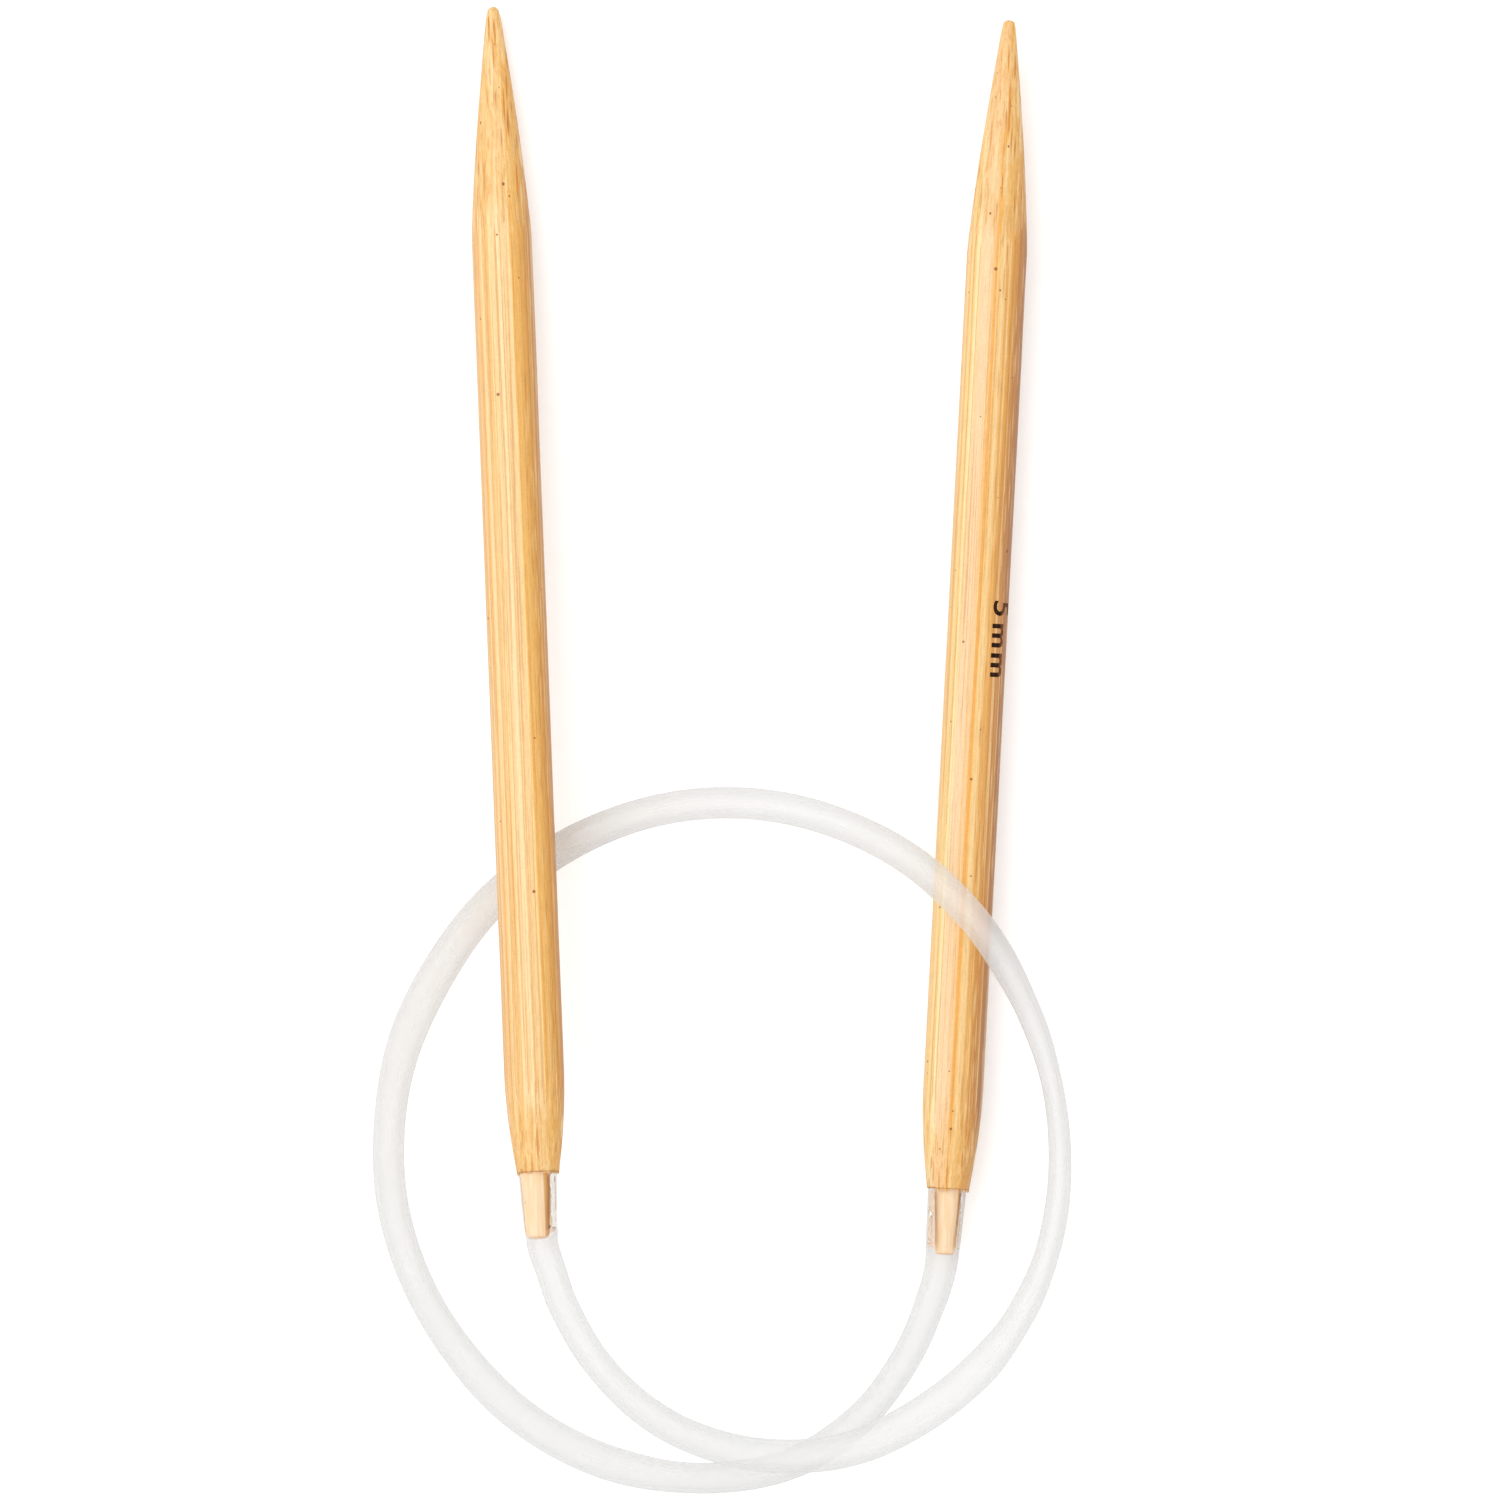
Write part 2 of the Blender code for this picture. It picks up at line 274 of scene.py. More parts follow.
class Tree:
    """Adds nodes to a tree and links them in the order they are read."""

    def __init__(self, tree):
        self.tree = tree

    def add(self, kind, settings=None, **inputs):
        node = self.tree.nodes.new("ShaderNode" + kind)
        for key, value in (settings or {}).items():
            setattr(node, key, value)
        for key, value in inputs.items():
            self.feed(node, key, value)
        return node

    def feed(self, node, key, value):
        name = key.replace("_", " ")
        socket = node.inputs[int(key[1:])] if key[1:].isdigit() else node.inputs[name]
        if isinstance(value, bpy.types.NodeSocket):
            self.tree.links.new(value, socket)
        elif isinstance(value, bpy.types.Node):
            self.tree.links.new(value.outputs[0], socket)
        else:
            socket.default_value = value

    def math(self, operation, a, b=0.0, clamp=False):
        settings = {"operation": operation, "use_clamp": clamp}
        return self.add("Math", settings, i0=a, i1=b).outputs[0]

    def ease(self, value, low, high, to_low=0.0, to_high=1.0):
        """Turns low..high into to_low..to_high with soft ends."""
        node = self.add(
            "MapRange", {"interpolation_type": "SMOOTHSTEP"}, Value=value,
            From_Min=low, From_Max=high, To_Min=to_low, To_Max=to_high,
        )
        return node.outputs[0]

    def mix(self, share, a, b, blend="MIX"):
        settings = {"data_type": "RGBA", "blend_type": blend, "clamp_factor": True}
        node = self.add("Mix", settings, i0=share, i6=a, i7=b)
        return node.outputs[2]

    def ramp(self, value, stops):
        node = self.add("ValToRGB", Fac=value)
        band = node.color_ramp
        while len(band.elements) > 1:
            band.elements.remove(band.elements[-1])
        for index, (place, colour) in enumerate(stops):
            stop = band.elements[0] if index == 0 else band.elements.new(place)
            stop.position = place
            stop.color = colour
        return node.outputs[0]


def new_group(name, inputs, outputs):
    """An empty node group with these sockets: (name, kind, value) and (name, kind)."""
    group = bpy.data.node_groups.new(name, "ShaderNodeTree")
    kinds = {"value": "NodeSocketFloat", "vector": "NodeSocketVector"}
    for label, kind, value in inputs:
        made = group.interface.new_socket(label, in_out="INPUT", socket_type=kinds[kind])
        if value is not None:
            made.default_value = value
    for label, kind in outputs:
        group.interface.new_socket(label, in_out="OUTPUT", socket_type=kinds[kind])
    tree = Tree(group)
    taken = group.nodes.new("NodeGroupInput")
    given = group.nodes.new("NodeGroupOutput")
    return group, tree, taken.outputs, given


def use_group(tree, group, **inputs):
    node = tree.tree.nodes.new("ShaderNodeGroup")
    node.node_tree = group
    for key, value in inputs.items():
        tree.feed(node, key, value)
    return node.outputs


PICKED_LIGHT = 1.25  # the studio light falls this strongly on what lies flat


def srgb(red, green, blue):
    """A colour picked on a 0..255 chart under the studio light, as the shaders' linear light."""
    def linear(level):
        level /= 255
        level = level / 12.92 if level <= 0.04045 else ((level + 0.055) / 1.055) ** 2.4
        return level / PICKED_LIGHT
    return (linear(red), linear(green), linear(blue), 1.0)


def new_material(name):
    made = bpy.data.materials.new(name)
    made.use_nodes = True
    tree = Tree(made.node_tree)
    return made, tree, made.node_tree.nodes["Principled BSDF"]


# ------------------------------------------------ shared effects


def stretched(tree, place, stretch, seed):
    """The place with its length along Y drawn out, moved on by the seed."""
    parts = tree.add("SeparateXYZ", Vector=place)
    along = tree.math("MULTIPLY", parts.outputs["Y"], stretch)
    moved = tree.math("ADD", parts.outputs["X"], seed)
    return tree.add("CombineXYZ", X=moved, Y=along, Z=parts.outputs["Z"])


def make_streaks():
    """Long fine lines that run along Y: a mask of the lines, and the soft field they come from."""
    group, tree, taken, given = new_group(
        "long streaks",
        [("Place", "vector", None), ("Per Millimetre", "value", 2.0), ("Stretch", "value", 0.02),
         ("From", "value", 0.45), ("To", "value", 0.6), ("Seed", "value", 0.0)],
        [("Mask", "value"), ("Raw", "value")],
    )
    field = tree.add(
        "TexNoise", Vector=stretched(tree, taken["Place"], taken["Stretch"], taken["Seed"]),
        Scale=taken["Per Millimetre"], Detail=1.5, Roughness=0.5,
    )
    mask = tree.ease(field.outputs[0], taken["From"], taken["To"])
    tree.feed(given, "Mask", mask)
    tree.feed(given, "Raw", field.outputs[0])
    return group


def make_bundles():
    """Fibre bundles: slender cells along Y. Share is how many of them show."""
    group, tree, taken, given = new_group(
        "fibre bundles",
        [("Place", "vector", None), ("Per Millimetre", "value", 2.0), ("Stretch", "value", 0.03),
         ("Core", "value", 0.25), ("Share", "value", 0.5), ("Seed", "value", 0.0)],
        [("Mask", "value")],
    )
    cells = tree.add(
        "TexVoronoi", {"voronoi_dimensions": "3D", "feature": "F1"}, Randomness=1.0,
        Vector=stretched(tree, taken["Place"], taken["Stretch"], taken["Seed"]),
        Scale=taken["Per Millimetre"],
    )
    tone = tree.add("SeparateColor", Color=cells.outputs["Color"]).outputs[0]
    core = tree.ease(cells.outputs["Distance"], taken["Core"],
                     tree.math("MULTIPLY", taken["Core"], 0.5))
    chosen = tree.math("LESS_THAN", tone, taken["Share"])
    tree.feed(given, "Mask", tree.math("MULTIPLY", core, chosen))
    return group


STREAKS = make_streaks()
BUNDLES = make_bundles()


def local_millimetres(tree, place):
    """The needle's own millimetres: y runs from the spigot's end to the tip."""
    coordinates = tree.add("TexCoord").outputs["Object"]
    return tree.add(
        "Mapping", {"vector_type": "TEXTURE"}, Vector=coordinates,
        Location=place.translation, Rotation=place.to_euler("XYZ"), Scale=(MM, MM, MM),
    ).outputs[0]


# ------------------------------------------------ bamboo

# The bands are given from this far left of the stick's middle to this far right, in mm.
BAND_REACH = 2.6


def bamboo(name, place, bands, seed, drift, rough_side, spigot_band, flecked):
    """Turned bamboo: bands of the culm wall with painted shade on the right flank, fibre lines in
    them, and cut fibres on the tapers.
    """
    made, tree, shader = new_material(name)
    where = local_millimetres(tree, place)
    x, y, z = tree.add("SeparateXYZ", Vector=where).outputs

    def streaks(per_mm, stretch, low, high, shift):
        return use_group(tree, STREAKS, Place=where, Per_Millimetre=per_mm, Stretch=stretch,
                         From=low, To=high, Seed=seed + shift)

    def bundles(place, per_mm, stretch, core, share, shift):
        return use_group(tree, BUNDLES, Place=place, Per_Millimetre=per_mm, Stretch=stretch,
                         Core=core, Share=share, Seed=seed + shift)["Mask"]

    # How far the lathe has cut below the stick's full roundness: nothing on the shaft.
    reach = tree.math("SQRT", tree.math("ADD", tree.math("MULTIPLY", x, x),
                                        tree.math("MULTIPLY", z, z)))
    depth = tree.math("SUBTRACT", NEEDLE_RADIUS / MM - 0.03, reach, clamp=True)
    cut = tree.ease(depth, 0.0, 0.22)

    # Bands: they waver a little, drift along the stick, and shift where the lathe cuts deeper.
    # Their colours also carry painted shade, darker towards the stick's right flank.
    waver = streaks(1.0, 0.03, 0.0, 1.0, 11.0)["Raw"]
    jag = streaks(7.0, 0.02, 0.0, 1.0, 3.0)["Raw"]
    across = tree.math("ADD", x, tree.math("MULTIPLY", tree.math("SUBTRACT", waver, 0.5), 0.16))
    across = tree.math("ADD", across, tree.math("MULTIPLY", tree.math("SUBTRACT", jag, 0.5), 0.10))
    across = tree.math("ADD", across, tree.math("MULTIPLY", tree.math("SUBTRACT", y, 50.0), drift))
    bent = streaks(0.9, 0.10, 0.0, 1.0, 17.0)["Raw"]
    bent = tree.math("MULTIPLY", tree.math("SUBTRACT", bent, 0.5), 1.8)
    across = tree.math("ADD", across, tree.math("MULTIPLY", bent, depth))
    share = tree.math("MULTIPLY", tree.math("ADD", across, BAND_REACH), 0.5 / BAND_REACH)
    stops = [((at + BAND_REACH) * 0.5 / BAND_REACH, srgb(*colour)) for at, colour in bands]
    colour = tree.ramp(share, stops)

    # Fibre lines: honey and cream ones, then thin darker ones.
    honey = streaks(2.6, 0.004, 0.55, 0.575, 4.1)["Mask"]
    cream = streaks(3.6, 0.004, 0.575, 0.60, 1.3)["Mask"]
    hair = streaks(5.5, 0.005, 0.585, 0.61, 7.7)["Mask"]
    grain = streaks(14.0, 0.05, 0.0, 1.0, 2.9)["Raw"]
    pith = streaks(5.0, 0.9, 0.0, 1.0, 9.1)["Raw"]
    colour = tree.mix(tree.math("MULTIPLY", honey, 0.40), colour, srgb(241, 182, 98))
    colour = tree.mix(tree.math("MULTIPLY", cream, 0.55), colour, srgb(255, 228, 184))
    colour = tree.mix(tree.math("MULTIPLY", hair, 0.50), colour, srgb(222, 154, 74))

    # One side of the stick is coarser: broken short lines.
    side = tree.ease(x, rough_side[0], rough_side[1])
    coarse = bundles(where, 4.4, 0.05, 0.42, 0.5, 13.7)
    colour = tree.mix(tree.math("MULTIPLY", tree.math("MULTIPLY", coarse, side), 0.55),
                      colour, srgb(204, 142, 70))
    coarse_light = bundles(where, 4.7, 0.05, 0.42, 0.4, 23.1)
    colour = tree.mix(tree.math("MULTIPLY", tree.math("MULTIPLY", coarse_light, side), 0.5),
                      colour, srgb(255, 224, 172))

    # Cut fibres on the tapers: a deeper honey, dark and light flames in it, then fine dashes.
    colour = tree.mix(tree.math("MULTIPLY", cut, 0.38), colour, srgb(246, 194, 116))
    # The bundles are taller than wide, so a taper cuts them into long flames.
    tall = tree.add("CombineXYZ", X=x, Y=y, Z=tree.math("MULTIPLY", z, 0.45))
    flame = bundles(tall, 3.6, 0.022, 0.40, 0.40, 5.5)
    pale = bundles(tall, 3.0, 0.022, 0.42, 0.45, 31.3)
    dash = bundles(tall, 5.5, 0.03, 0.36, 0.35, 43.9)
    lit = tree.ease(x, -1.2, 0.9, 0.62, 1.0)
    for mask, amount, tint in (
        (pale, 0.80, (255, 228, 180)), (flame, 1.0, (219, 144, 56)), (dash, 0.85, (200, 122, 48)),
    ):
        amount = tree.math("MULTIPLY", tree.math("MULTIPLY", mask, cut),
                           tree.math("MULTIPLY", lit, amount))
        colour = tree.mix(amount, colour, srgb(*tint))

    fine = tree.math("ADD", tree.ease(grain, 0.25, 0.75, 0.90, 1.07),
                     tree.ease(pith, 0.3, 0.7, -0.03, 0.03))
    grey = tree.add("CombineColor", Red=fine, Green=fine, Blue=fine).outputs[0]
    colour = tree.mix(1.0, colour, grey, "MULTIPLY")

    # The spigot's wood is paler, with one darker band.
    root = SPIGOT_LENGTH / MM
    spigot = tree.math("MULTIPLY", tree.ease(y, root + 0.02, root - 0.02),
                       tree.ease(reach, 1.70, 1.66))
    light = streaks(4.0, 0.05, 0.48, 0.60, 51.0)["Mask"]
    peach = tree.mix(tree.math("MULTIPLY", light, 0.6), srgb(258, 226, 190), srgb(266, 246, 226))
    low, high = spigot_band
    uneven = tree.math("ADD", x, tree.math("MULTIPLY", tree.math("SUBTRACT", waver, 0.5), 0.5))
    stripe = tree.math("MULTIPLY", tree.ease(uneven, low - 0.06, low + 0.06),
                       tree.ease(uneven, high + 0.08, high - 0.04))
    peach = tree.mix(tree.math("MULTIPLY", stripe, 0.9), peach, srgb(238, 172, 84))
    colour = tree.mix(tree.math("MULTIPLY", spigot, 0.9), colour, peach)

    # Specks: a few tiny dark flecks, counted on the stick's unrolled surface.
    unrolled = tree.add("UVMap", {"uv_map": "unrolled"}).outputs[0]
    fleck = None
    for scale, biggest in ((0.17, 0.034), (0.31, 0.038)):
        flecks = tree.add("TexVoronoi", {"voronoi_dimensions": "2D"}, Vector=unrolled,
                          Scale=scale, Randomness=1.0)
        chance = tree.add("SeparateColor", Color=flecks.outputs["Color"]).outputs[1]
        size = tree.math("MULTIPLY", chance, biggest)
        dot = tree.ease(flecks.outputs["Distance"], size, tree.math("MULTIPLY", size, 0.5))
        dot = tree.math("MULTIPLY", dot, tree.math("GREATER_THAN", chance, 1.0 - flecked))
        fleck = dot if fleck is None else tree.math("MAXIMUM", fleck, dot)
    colour = tree.mix(tree.math("MULTIPLY", fleck, 0.85), colour, srgb(150, 72, 22))

    # A burnt-looking line where the shoulder was cut square, and at the spigot's end.
    edge = tree.math("ABSOLUTE", tree.math("SUBTRACT", y, root + 0.02))
    near = tree.math("MULTIPLY", tree.ease(edge, 0.11, 0.0), tree.ease(reach, 1.3, 1.55))
    colour = tree.mix(tree.math("MULTIPLY", near, 0.65), colour, srgb(194, 118, 44))
    lip = tree.ease(y, 0.22, 0.02)
    colour = tree.mix(tree.math("MULTIPLY", lip, 0.6), colour, srgb(226, 158, 88))

    # Gloss washes the wood out a little, so its own colour is warmer.
    colour = tree.mix(1.0, colour, (1.055, 1.005, 0.87, 1.0), "MULTIPLY")

    open_flame = tree.math("MULTIPLY", flame, cut)
    roughness = tree.ease(tree.math("ADD", hair, open_flame), 0.0, 1.0, 0.40, 0.54)
    height = tree.math("MULTIPLY", grain, 0.6)
    height = tree.math("SUBTRACT", height, tree.math("MULTIPLY", hair, 0.5))
    height = tree.math("SUBTRACT", height, fleck)
    height = tree.math("SUBTRACT", height, tree.math("MULTIPLY", open_flame, 0.7))
    bump = tree.add("Bump", Strength=0.5, Distance=0.00002, Height=height)
    tree.feed(shader, "Base_Color", colour)
    tree.feed(shader, "Roughness", roughness)
    tree.feed(shader, "Normal", bump)
    shader.inputs["Metallic"].default_value = 0.0
    shader.inputs["IOR"].default_value = 1.45
    shader.inputs["Coat Weight"].default_value = 0.12
    shader.inputs["Coat Roughness"].default_value = 0.3
    return made


# The bands of each stick: the place across it in mm, and the colour there. Towards the right flank
# the colours are darker with painted shade as well as the wood's own colour.
LEFT_BANDS_AND_SHADE = [
    (-2.43, (239, 189, 132)), (-2.18, (252, 210, 157)), (-2.01, (248, 199, 141)),
    (-1.93, (242, 183, 103)), (-1.85, (252, 213, 154)), (-1.65, (256, 228, 177)),
    (-1.49, (239, 192, 131)), (-1.39, (251, 206, 144)), (-1.11, (248, 199, 131)),
    (-1.01, (255, 225, 171)), (-0.73, (254, 218, 160)), (-0.55, (245, 196, 127)),
    (-0.43, (251, 209, 149)), (-0.33, (256, 232, 188)), (-0.13, (257, 231, 182)),
    (-0.03, (241, 193, 129)), (0.07, (256, 221, 172)), (0.52, (256, 218, 163)),
    (0.67, (262, 236, 181)), (0.79, (259, 214, 141)), (0.89, (247, 180, 89)),
    (1.01, (250, 200, 122)), (1.22, (246, 193, 111)), (1.72, (234, 175, 91)),
    (1.99, (219, 157, 83)), (2.09, (238, 185, 108)), (2.19, (215, 155, 88)),
    (2.57, (205, 145, 86)),
]
RIGHT_BANDS_AND_SHADE = [
    (-2.66, (248, 207, 161)), (-2.41, (258, 225, 176)), (-2.18, (252, 210, 145)),
    (-2.08, (258, 230, 174)), (-1.82, (251, 214, 147)), (-1.70, (257, 232, 181)),
    (-1.52, (258, 244, 201)), (-1.36, (256, 236, 195)), (-1.26, (253, 219, 181)),
    (-0.61, (253, 216, 175)), (-0.20, (252, 209, 157)), (-0.12, (248, 184, 94)),
    (0.10, (248, 180, 90)), (0.20, (253, 208, 138)), (0.46, (254, 214, 153)),
    (0.76, (249, 199, 129)), (0.88, (237, 176, 95)), (1.08, (249, 197, 121)),
    (1.26, (233, 173, 91)), (1.44, (222, 157, 77)), (1.70, (218, 154, 88)),
    (1.86, (199, 134, 74)), (2.04, (205, 146, 88)), (2.16, (184, 124, 74)),
    (2.39, (180, 122, 77)),
]


# ------------------------------------------------ needles


def taper_radius(distance, length, small, fullness):
    """The turned radius this far into a taper that starts at its small end."""
    left = 1 - min(distance / length, 1.0)
    return NEEDLE_RADIUS - (NEEDLE_RADIUS - small) * left**fullness


def needle_stations(spigot, bevel, tip_flat):
    """(y, radius) from the spigot's end to the tip, close together where the shape turns."""
    spigot_root, spigot_end = spigot
    stations = []
    for i in range(5):
        angle = math.radians(90) * i / 4
        stations.append((bevel * (1 - math.cos(angle)),
                         spigot_end - bevel * (1 - math.sin(angle))))
    for i in range(1, 9):
        y = between(bevel, SPIGOT_LENGTH, i / 8)
        stations.append((y, between(spigot_end, spigot_root, y / SPIGOT_LENGTH)))
    stations.append((SPIGOT_LENGTH, SHOULDER_RADIUS - EDGE_ROUND))
    stations.append((SPIGOT_LENGTH + EDGE_ROUND * 0.4, SHOULDER_RADIUS - EDGE_ROUND * 0.2))
    for i in range(18):
        y = max(REAR_TAPER * i / 17, EDGE_ROUND)
        stations.append((SPIGOT_LENGTH + y,
                         taper_radius(y, REAR_TAPER, SHOULDER_RADIUS, REAR_FULLNESS)))
    tip = SPIGOT_LENGTH + NEEDLE_LENGTH
    first, last = SPIGOT_LENGTH + REAR_TAPER, tip - TIP_TAPER
    for i in range(1, 40):
        stations.append((between(first, last, i / 40), NEEDLE_RADIUS))
    for i in range(36):
        back = between(TIP_TAPER, TIP_RADIUS, i / 36)
        stations.append((tip - back, taper_radius(back, TIP_TAPER, TIP_RADIUS, TIP_FULLNESS)))
    for i in range(8):
        angle = math.radians(86) * i / 7
        back = TIP_RADIUS * tip_flat * (1 - math.sin(angle))
        stations.append((tip - back, TIP_RADIUS * math.cos(angle)))
    return stations


TURNED_SIDES = 96
SANDED_OFF = 0.000018  # hand sanding takes up to this much off the shaft
SANDED_OFF_TIP = 0.00003


def sanding(angle, y, seed):
    """How far hand sanding leaves the surface off the true round here."""
    around = Vector((math.sin(angle) * 1.2, y / MM * 0.12, math.cos(angle) * 1.2))
    off = noise.noise(around + Vector((seed * 9.1, 0, 0))) * SANDED_OFF
    tip_share = min(max((y - 0.083) / 0.012, 0.0), 1.0)
    at_tip = noise.noise(around * 2.1 + Vector((0, seed * 5.3, 0))) * SANDED_OFF_TIP
    return off + at_tip * tip_share


def add_needle(name, place, stations, shift, seed, finish, body):
    """Turns one needle ring by ring, sands it a little unevenly and lays it in its place."""
    bpy.ops.object.select_all(action="DESELECT")
    bpy.ops.mesh.primitive_circle_add(
        vertices=TURNED_SIDES, radius=stations[0][1], fill_type="NGON",
        location=(0, 0, 0), rotation=(math.radians(90), 0, 0),
    )
    piece = bpy.context.object
    piece.name = name
    bpy.ops.object.transform_apply(location=True, rotation=True, scale=True)
    bpy.ops.object.mode_set(mode="EDIT")
    bpy.ops.mesh.select_all(action="SELECT")
    for (old_y, old_radius), (y, radius) in zip(stations, stations[1:]):
        bpy.ops.mesh.extrude_region_move(TRANSFORM_OT_translate={"value": (0, y - old_y, 0)})
        grow = radius / old_radius
        bpy.ops.transform.resize(value=(grow, 1, grow), center_override=(0, y, 0))
    bpy.ops.mesh.select_all(action="SELECT")
    bpy.ops.mesh.normals_make_consistent(inside=False)
    bpy.ops.object.mode_set(mode="OBJECT")

    # Unrolled millimetres for the specks: round the stick, then along it.
    unrolled = piece.data.uv_layers.new(name="unrolled")
    for polygon in piece.data.polygons:
        middle = math.atan2(polygon.center.x, polygon.center.z)
        for loop in polygon.loop_indices:
            point = piece.data.vertices[piece.data.loops[loop].vertex_index].co
            angle = math.atan2(point.x, point.z)
            if angle - middle > math.pi:
                angle -= 2 * math.pi
            if middle - angle > math.pi:
                angle += 2 * math.pi
            unrolled.data[loop].uv = (angle * NEEDLE_RADIUS / MM + seed * 40, point.y / MM)

    # Sanding, the spigot pushed to its side, and nicks in the edge of the shoulder.
    for vertex in piece.data.vertices:
        x, y, z = vertex.co
        radius, angle = math.hypot(x, z), math.atan2(x, z)
        grow = 1 + sanding(angle, y, seed) / max(radius, 0.5 * MM)
        vertex.co.x, vertex.co.z = x * grow, z * grow
        if y < SPIGOT_LENGTH + 1e-5 and radius < SHOULDER_RADIUS - 2 * EDGE_ROUND:
            vertex.co.x += shift
        elif y < SPIGOT_LENGTH + 2 * EDGE_ROUND:
            nick = noise.noise(Vector((math.sin(angle) * 4, math.cos(angle) * 4, seed * 3.7)))
            chip = noise.noise(Vector((math.sin(angle) * 11, math.cos(angle) * 11, seed)))
            vertex.co.y += (nick * 0.30 + chip * 0.28) * MM

    piece.data.transform(place)
    piece.data.materials.append(finish)
    bpy.ops.object.shade_smooth_by_angle(angle=math.radians(40))
    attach(piece, body)
    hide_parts(body)
    return piece


left_bamboo = bamboo(
    "bamboo of the left needle", LEFT_FRAME, LEFT_BANDS_AND_SHADE, seed=0.0, drift=0.003,
    rough_side=(0.9, 1.6), spigot_band=(0.50, 1.0), flecked=0.25,
)
right_bamboo = bamboo(
    "bamboo of the right needle", RIGHT_FRAME, RIGHT_BANDS_AND_SHADE, seed=20.0, drift=-0.002,
    rough_side=(0.3, 0.6), spigot_band=(0.86, 1.05), flecked=0.42,
)
# Each stick is sanded unevenly in its own way.
LEFT_SEED = 1.0
RIGHT_SEED = 2.0
add_needle(
    "left_turned_needle", LEFT_FRAME,
    needle_stations(LEFT_SPIGOT, bevel=0.00045, tip_flat=1.0),
    LEFT_SPIGOT_SHIFT, LEFT_SEED, left_bamboo, "left_needle",
)
add_needle(
    "right_turned_needle", RIGHT_FRAME,
    needle_stations(RIGHT_SPIGOT, bevel=0.0002, tip_flat=0.6),
    RIGHT_SPIGOT_SHIFT, RIGHT_SEED, right_bamboo, "right_needle",
)


# ------------------------------------------------ cord


def cord_plastic(name, place=None, curl=0.4):
    """Clear plastic with a fogged bore. On a spigot (place) glue has cleared the fog.

    The fog starts beyond the line y = curl * x * x around the spigot's rounded end.
    """
    made, tree, shader = new_material(name)
    facing = tree.add("LayerWeight", Blend=0.5).outputs["Facing"]
    inner = tree.add("Attribute", {"attribute_name": "bore"}).outputs["Fac"]
    cap = tree.add("Attribute", {"attribute_name": "inside_end"}).outputs["Fac"]
    round_and_along = tree.add(
        "SeparateXYZ", Vector=tree.add("UVMap", {"uv_map": "along"}).outputs[0]).outputs
    turn = tree.math("MULTIPLY", round_and_along[0], 2 * math.pi)
    wrapped = tree.add(
        "CombineXYZ", X=tree.math("COSINE", turn), Z=tree.math("SINE", turn),
        Y=round_and_along[1],
    ).outputs[0]
    draw = use_group(tree, STREAKS, Place=wrapped, Per_Millimetre=2.2, Stretch=0.05,
                     From=0.35, To=0.65, Seed=3.0)["Mask"]
    cloud = use_group(tree, STREAKS, Place=wrapped, Per_Millimetre=0.6, Stretch=0.2,
                      From=0.35, To=0.65, Seed=9.0)["Mask"]
    milk = tree.math("ADD", tree.ease(draw, 0.0, 1.0, 0.225, 0.24),
                     tree.math("MULTIPLY", cloud, 0.03))
    film = 0.09
    if place is not None:
        where = local_millimetres(tree, place)
        x, y = tree.add("SeparateXYZ", Vector=where).outputs[:2]
        jag = tree.add("TexNoise", Vector=where, Scale=4.0, Detail=3.0).outputs[0]
        line = tree.math("MULTIPLY", tree.math("MULTIPLY", x, x), curl)
        line = tree.math("ADD", line, tree.math("MULTIPLY", tree.math("SUBTRACT", jag, 0.5), 0.4))
        beyond = tree.math("SUBTRACT", line, y)
        fogged = tree.ease(beyond, -0.05, 0.05)
        milk = tree.math("MULTIPLY", milk, fogged)
        film = tree.math("MULTIPLY", fogged, film)
    rim = 0.28 if place is None else 0.16
    skin = tree.math("ADD", 0.04, tree.math("MULTIPLY", tree.math("POWER", facing, 2.0), rim))
    skin = tree.math("ADD", skin, milk)
    alpha = tree.add("Mix", i0=inner, i2=skin, i3=film).outputs[0]
    alpha = tree.math("MULTIPLY", alpha, tree.math("SUBTRACT", 1.0, cap))
    # Most of the light goes through the plastic, so it shades what lies under it only faintly.
    path = tree.add("LightPath").outputs
    through = tree.math("ADD", path["Is Shadow Ray"], path["Is Diffuse Ray"], clamp=True)
    alpha = tree.math("MULTIPLY", alpha, tree.ease(through, 0.0, 1.0, 1.0, 0.3))
    tone = tree.mix(draw, (0.765, 0.755, 0.735, 1.0), (0.79, 0.78, 0.76, 1.0))
    # Painted shade: the plastic's colour turns greyer towards the tube's edges, where its surface
    # turns away from the view.
    tone = tree.mix(tree.ease(facing, 0.02, 0.20), tone, (0.715, 0.71, 0.70, 1.0))
    tree.feed(shader, "Base_Color", tone)
    tree.feed(shader, "Alpha", alpha)
    tree.feed(shader, "Roughness", tree.ease(cloud, 0.0, 1.0, 0.26, 0.34))
    shader.inputs["IOR"].default_value = 1.45
    return made


def ring(distance, half_width, half_height, lift):
    """One oval ring of the tube, around its centre line at this distance."""
    centre, direction = route_point(distance)
    side = direction.cross(Vector((0, 0, 1))).normalized()
    up = side.cross(direction).normalized()
    centre = centre + lift * Vector((0, 0, 1)) + eased(CORD_SHIFTS, distance) * side
    points = []
    for i in range(RING_SIDES):
        angle = 2 * math.pi * i / RING_SIDES
        points.append(centre + half_width * math.cos(angle) * side
                      + half_height * math.sin(angle) * up)
    return centre, points


def oval(distance):
    """Half width and half height: the tube keeps its girth when it is squeezed."""
    half_width = cord_width(distance)
    half_height = math.sqrt(max(2 * CORD_RADIUS**2 - half_width**2, 0.0))
    return half_width, half_height


